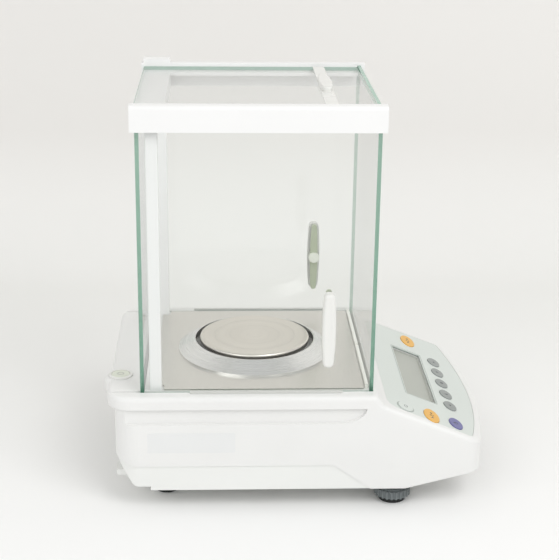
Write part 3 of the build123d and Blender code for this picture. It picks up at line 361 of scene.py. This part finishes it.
# Moulded and painted finishes by slot: material name, colour, roughness, depth of the grain in
# millimetres, grains per metre, how far the colour strays and, for the dull rubber, specular level
moulded_finishes = {
    "housing": ("housing_plastic", (233, 233, 231), 0.38, 0.06, 1400.0, 0.02),
    "tray": ("tray_plastic", (234, 235, 232), 0.38, 0.06, 1400.0, 0.02),
    "film": ("film", (215, 221, 216), 0.42, 0.02, 700.0, 0.01),
    "display": ("display", (182, 185, 176), 0.25, 0.01, 900.0, 0.02),
    "amber_key": ("amber_key", (232, 178, 82), 0.32, 0.02, 900.0, 0.03),
    "blue_key": ("blue_key", (108, 108, 160), 0.32, 0.02, 900.0, 0.03),
    "grey_key": ("grey_key", (146, 151, 149), 0.32, 0.02, 900.0, 0.03),
    "board": ("circuit_board", (52, 120, 78), 0.35, 0.04, 500.0, 0.08),
    "socket": ("black_plastic", (42, 43, 43), 0.4, 0.05, 900.0, 0.05),
    "frame": ("frame_paint", (238, 238, 237), 0.3, 0.03, 500.0, 0.01),
    "handle": ("handle_plastic", (230, 230, 226), 0.25, 0.02, 700.0, 0.01),
    "front_trim": ("front_trim", (243, 243, 236), 0.3, 0.03, 700.0, 0.01),
    "guide_trim": ("guide_trim", (208, 209, 205), 0.35, 0.03, 700.0, 0.02),
    "level_cup": ("level_cup", (232, 232, 228), 0.3, 0.03, 700.0, 0.01),
    "level_lens": ("level_lens", (224, 228, 214), 0.12, 0.01, 500.0, 0.01),
    "foot_wheel": ("foot_plastic", (112, 118, 119), 0.42, 0.06, 900.0, 0.05),
    "foot_rubber": ("rubber", (48, 50, 50), 0.7, 0.1, 900.0, 0.06, 0.3),
    "magnet_iron": ("magnet_iron", (120, 121, 122), 0.35, 0.06, 400.0, 0.08),
    # Grey of the film's outlines: print round the menu key, painted shade round the display
    "film_ink": ("film_ink", (170, 178, 172), 0.45, 0.01, 900.0, 0.01),
    "key_ink": ("key_ink", (74, 78, 80), 0.4, 0.01, 900.0, 0.02),
    "label": ("label", (229, 230, 229), 0.3, 0.01, 500.0, 0.01),
    "bubble": ("bubble", (236, 244, 206), 0.1, 0.01, 500.0, 0.01),
}


def make_materials():
    """One finish for each material slot of the record, and those of the prints."""
    finishes = {}
    for slot, (name, colour, roughness, grain, *rest) in moulded_finishes.items():
        finishes[slot] = moulded(name, linear(*colour), roughness, grain * MM, *rest)
    finishes.update({
        "floor_metal": brushed("floor_metal", linear(224, 222, 217), stretch=(1, 45, 45)),
        "pan_metal": turned("pan_metal", linear(226, 222, 214)),
        "ring_metal": turned("ring_metal", linear(234, 234, 233), roughness=0.24),
        # First colour: olive grip, painted shade. Second colour: the knob's own pale colour
        "clamp": clamp_plastic_and_painted_shade(linear(178, 186, 163), linear(228, 231, 220)),
        "cell_metal": brushed(
            "cell_metal", linear(214, 215, 217), stretch=(40, 1, 40), roughness=0.35
        ),
        "coil_wire": brushed(
            "coil_wire", linear(196, 122, 78), stretch=(1, 1, 90),
            roughness=0.35, anisotropic=0.2, scale=90.0,
        ),
        "screw_steel": brushed("screw_steel", linear(205, 205, 202), stretch=(20, 1, 1)),
    })
    return finishes


def dress_nodes(finishes):
    """Gives each node its own finish, or else the one of its slot."""
    side_glass = pane_glass("side_glass", 0)
    own = {
        "front_pane": pane_glass("front_pane_glass", 1),
        "rear_pane": pane_glass("rear_pane_glass", 1),
        "top_door_glass": pane_glass("top_glass", 2),
        "left_door_glass": side_glass,
        "right_door_glass": side_glass,
        "display_window": pane_glass("window_glass", 2),
        "shield_ring": finishes["ring_metal"],
        "left_door_clamp": finishes["clamp"],
        "right_door_clamp": finishes["clamp"],
    }
    slot_of = {row["node"]: row["material_slot"] for row in frame["record"]["subparts"]}
    for name, node in nodes.items():
        node.data.materials.clear()
        node.data.materials.append(own[name] if name in own else finishes[slot_of[name]])


# Prints and marks are in millimetres. On the sloping panel x runs across, v up the slope and lift
# away from the film
panel_slope = math.radians(22.0)
panel_normal = Vector((0, -math.sin(panel_slope), math.cos(panel_slope)))
panel_up = Vector((0, math.cos(panel_slope), math.sin(panel_slope)))
film_t = 1.0
film_rear_v = 97.0
film_rear_line = Vector((0, film_high.y - film_t * MM * math.sin(panel_slope), film_high.z))


def on_film(x, v, lift):
    """Point on the film."""
    along = (v - film_rear_v) * MM
    return film_rear_line + Vector((x * MM, 0, 0)) + panel_up * along + panel_normal * (lift * MM)


def on_side(y, z, lift):
    """Point on the left side of the housing."""
    return Vector((housing_low.x - lift * MM, y * MM, z * MM))


corner_steps = 6


def ellipse(x, v, half_width, half_depth, count=48):
    """Points round an ellipse."""
    angles = [2 * math.pi * step / count for step in range(count)]
    return [(x + half_width * math.cos(a), v + half_depth * math.sin(a)) for a in angles]


def rounded(x, v, half_width, half_depth, radius):
    """Points round a rectangle with round corners."""
    points = []
    for corner, (sx, sv) in enumerate(((1, 1), (-1, 1), (-1, -1), (1, -1))):
        for step in range(corner_steps + 1):
            angle = math.pi / 2 * (corner + step / corner_steps)
            points.append((
                x + sx * (half_width - radius) + radius * math.cos(angle),
                v + sv * (half_depth - radius) + radius * math.sin(angle),
            ))
    return points


def solid(name, rings, closed, material, body):
    """Closed mesh through rings of points, joined last to first or else capped at both ends."""
    mesh = bpy.data.meshes.new(name)
    work = bmesh.new()
    loops = [[work.verts.new(point) for point in ring] for ring in rings]
    pairs = list(zip(loops, loops[1:]))
    if closed:
        pairs.append((loops[-1], loops[0]))
    for a, b in pairs:
        for step in range(len(a)):
            ahead = (step + 1) % len(a)
            work.faces.new((a[step], a[ahead], b[ahead], b[step]))
    if not closed:
        work.faces.new(loops[0][::-1])
        work.faces.new(loops[-1])
    bmesh.ops.recalc_face_normals(work, faces=work.faces)
    work.to_mesh(mesh)
    work.free()
    piece = bpy.data.objects.new(name, mesh)
    piece.data.materials.append(material)
    bpy.context.scene.collection.objects.link(piece)
    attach(piece, body)


def plate(name, outline, place, low, high, material, body):
    """Thin flat piece with an outline, between two lifts above its surface."""
    rings = [[place(x, v, lift) for x, v in outline] for lift in (low, high)]
    solid(name, rings, False, material, body)


def band(name, outer, inner, place, low, high, material, body):
    """Thin flat ring between two outlines with as many points."""
    corners = ((outer, low), (outer, high), (inner, high), (inner, low))
    rings = [[place(x, v, lift) for x, v in outline] for outline, lift in corners]
    solid(name, rings, True, material, body)


# Middles of the keys on the film
function_key_pitch = 24.2
function_key_v = 32.0
display_x = -1.5
display_v = 60.0
key_middles = {
    "tare_key_left": (-88.5, 56.0),
    "tare_key_right": (80.0, 54.0),
    "power_key": (-86.0, 33.0),
    "menu_key": (-89.0, 80.0),
}
for index in range(5):
    key_x = display_x + (index - 2) * function_key_pitch
    key_middles[f"function_key_{index + 1}"] = (key_x, function_key_v)
key_top_lift = 0.8
print_t = 0.06

# Half sizes of the outlines on the film: the band round the display is painted shade of the
# display's recess, and the ring round the menu key is print
display_painted_shade_band_half_width = 55.4
display_painted_shade_band_half_depth = 15.2
display_painted_shade_band_corner = 1.6
display_painted_shade_band_line = 0.8
menu_key_half_width = 7.75
menu_key_half_depth = 6.75
menu_key_margin = 0.4
menu_key_line = 0.6


def print_film(finishes):
    """Outlines round the display and the pale key: a band of painted shade of the recess round the
    display, and a printed ring round the key.
    """
    finish = finishes["film_ink"]
    width, depth, corner, line = (
        display_painted_shade_band_half_width, display_painted_shade_band_half_depth,
        display_painted_shade_band_corner, display_painted_shade_band_line,
    )
    # Darker band round the display: painted shade of the window's recess
    outer = rounded(display_x, display_v, width, depth, corner)
    inner = rounded(display_x, display_v, width - line, depth - line, corner - line)
    band("display_painted_shade_band", outer, inner, on_film, 0, print_t, finish, "root")
    inner, outer = (
        ellipse(*key_middles["menu_key"], menu_key_half_width + gap, menu_key_half_depth + gap)
        for gap in (menu_key_margin, menu_key_margin + menu_key_line)
    )
    band("menu_key_outline", outer, inner, on_film, 0, print_t, finish, "root")


# Signs on the keys: points round an oval, an arrow to the right, and the arrows of the tare keys
sign_count = 32
arrow = [(-1.6, -1.2), (1.6, 0), (-1.6, 1.2)]
tare_tip, tare_base, tare_half = 2.6, 5.2, 1.3


def print_keys(finishes):
    """Plain signs on the keys: bars, arrows, rings and a power sign."""
    finish = finishes["key_ink"]
    low, high = key_top_lift, key_top_lift + print_t

    def sign(key, number, outline):
        x, v = key_middles[key]
        moved = [(x + dx, v + dv) for dx, dv in outline]
        plate(f"{key}_sign_{number}", moved, on_film, low, high, finish, key)

    def ring(key, half_width, half_depth, line):
        outer, inner = (
            ellipse(*key_middles[key], half_width - inset, half_depth - inset, sign_count)
            for inset in (0, line)
        )
        band(f"{key}_sign_1", outer, inner, on_film, low, high, finish, key)

    for key in ("tare_key_left", "tare_key_right"):
        ring(key, half_width=1.3, half_depth=1.9, line=0.45)
        for number, side in ((2, -1), (3, 1)):
            base = side * tare_base
            sign(key, number, [(base, -tare_half), (side * tare_tip, 0), (base, tare_half)])
    ring("power_key", half_width=1.8, half_depth=1.8, line=0.5)
    sign("power_key", 2, rounded(0, 1.6, half_width=0.35, half_depth=1.3, radius=0.2))
    ring("menu_key", half_width=2.2, half_depth=1.6, line=0.4)
    sign("function_key_1", 1, [(-x, v) for x, v in arrow])
    sign("function_key_2", 1, [(v, x) for x, v in arrow])
    sign("function_key_3", 1, rounded(0, 0, half_width=1.3, half_depth=1.3, radius=0.3))
    sign("function_key_4", 1, [(v, -x) for x, v in arrow])
    sign("function_key_5", 1, arrow)


# Marks on the left side of the housing, placed by y and z
label_middle = (89.5, 61.0)
label_half_length = 36.0
label_half_height = 9.0
label_corner = 1.2
label_t = 0.12
mark_middle = (-76.0, 38.0)
mark_r = 2.6
mark_inner_r = 2.3
mark_t = 0.1
mark_count = 40


def add_side_marks(finishes):
    """Bare label and a small moulding mark on the left side of the housing."""
    label = rounded(*label_middle, label_half_length, label_half_height, label_corner)
    plate("side_label", label, on_side, 0, label_t, finishes["label"], "root")
    outer, inner = (ellipse(*mark_middle, r, r, mark_count) for r in (mark_r, mark_inner_r))
    band("side_mark", outer, inner, on_side, 0, mark_t, finishes["housing"], "root")


# Round level: target ring printed on the glass, and a domed bubble under it
target_r = 2.6
target_inner_r = 2.3
target_low, target_high = 0.02, 0.06
bubble_offset = (0.3, -0.2)
bubble_r = 1.9
bubble_low = -0.45
bubble_rise = 0.35
bubble_steps = 5
bubble_count = 32


def add_level_bubble(finishes):
    """Bubble and target ring of the round level."""
    low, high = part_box("level_glass")
    x, y = (low.x + high.x) / 2 / MM, (low.y + high.y) / 2 / MM

    def on_level(px, py, lift):
        return Vector((px * MM, py * MM, high.z + lift * MM))

    outer, inner = (ellipse(x, y, r, r) for r in (target_r, target_inner_r))
    band(
        "level_ring", outer, inner, on_level, target_low, target_high,
        finishes["key_ink"], "root",
    )
    bubble_x, bubble_y = x + bubble_offset[0], y + bubble_offset[1]
    rings = []
    for step in range(bubble_steps):
        angle = step / bubble_steps * math.pi / 2
        r = bubble_r * math.cos(angle)
        lift = bubble_low + bubble_rise * math.sin(angle)
        outline = ellipse(bubble_x, bubble_y, r, r, bubble_count)
        rings.append([on_level(px, py, lift) for px, py in outline])
    solid("level_bubble", rings, False, finishes["bubble"], "root")


# Surroundings, in metres: a table that turns up into a wall through a cove
stage_half = 6.0
table_shade_x = -0.5
wall_cloud_scale = 1.0
wall_x = 0.60
wall_top = 4.0
cove_r = 0.16
cove_steps = 16
table_near, table_far = linear(250, 250, 250), linear(238, 238, 235)
wall_dark, wall_light = linear(232, 230, 227), linear(236, 234, 231)


def backdrop_paint():
    """Pale paint that goes from the table's colours to the wall's over the cove."""
    shader = Shader("backdrop")
    parts = shader.split(shader.place())
    away = shader.share(parts["X"], table_shade_x, wall_x - cove_r)
    table = shader.ramp(away, [(0.0, table_near), (1.0, table_far)])
    cloud = shader.noise(wall_cloud_scale, detail=2.0)
    wall = shader.ramp(cloud, [(0.3, wall_dark), (0.7, wall_light)])
    climb = shader.share(parts["Z"], 0.0, cove_r)
    # Inputs 6 and 7 and output 2 are the colours of a mix node
    blend = shader.add("ShaderNodeMix", {0: climb, 6: table, 7: wall}, data_type="RGBA")
    return shader.finish(shader.surface({"Base Color": blend.outputs[2], "Roughness": 0.7}))


def add_stage():
    """Table, cove and wall as one smooth sheet."""
    profile = [(-stage_half, 0.0)]
    for step in range(cove_steps + 1):
        angle = step / cove_steps * math.pi / 2
        profile.append((
            wall_x - cove_r + cove_r * math.sin(angle),
            cove_r - cove_r * math.cos(angle),
        ))
    profile.append((wall_x, wall_top))
    points = [(x, y, z) for x, z in profile for y in (-stage_half, stage_half)]
    faces = [(2 * i, 2 * i + 2, 2 * i + 3, 2 * i + 1) for i in range(len(profile) - 1)]
    mesh = bpy.data.meshes.new("backdrop")
    mesh.from_pydata(points, [], faces)
    for face in mesh.polygons:
        face.use_smooth = True
    backdrop = bpy.data.objects.new("backdrop", mesh)
    backdrop.data.materials.append(backdrop_paint())
    bpy.context.scene.collection.objects.link(backdrop)


bpy.context.scene.view_settings.view_transform = "Standard"
add_camera()
light_world()
add_lamp("key", place=(-1.2, -0.9, 1.8), size=1.2, power=18)
add_lamp("fill", place=(-1.4, 1.2, 1.2), size=1.4, power=8)
finishes = make_materials()
dress_nodes(finishes)
print_film(finishes)
print_keys(finishes)
add_side_marks(finishes)
add_level_bubble(finishes)
add_stage()
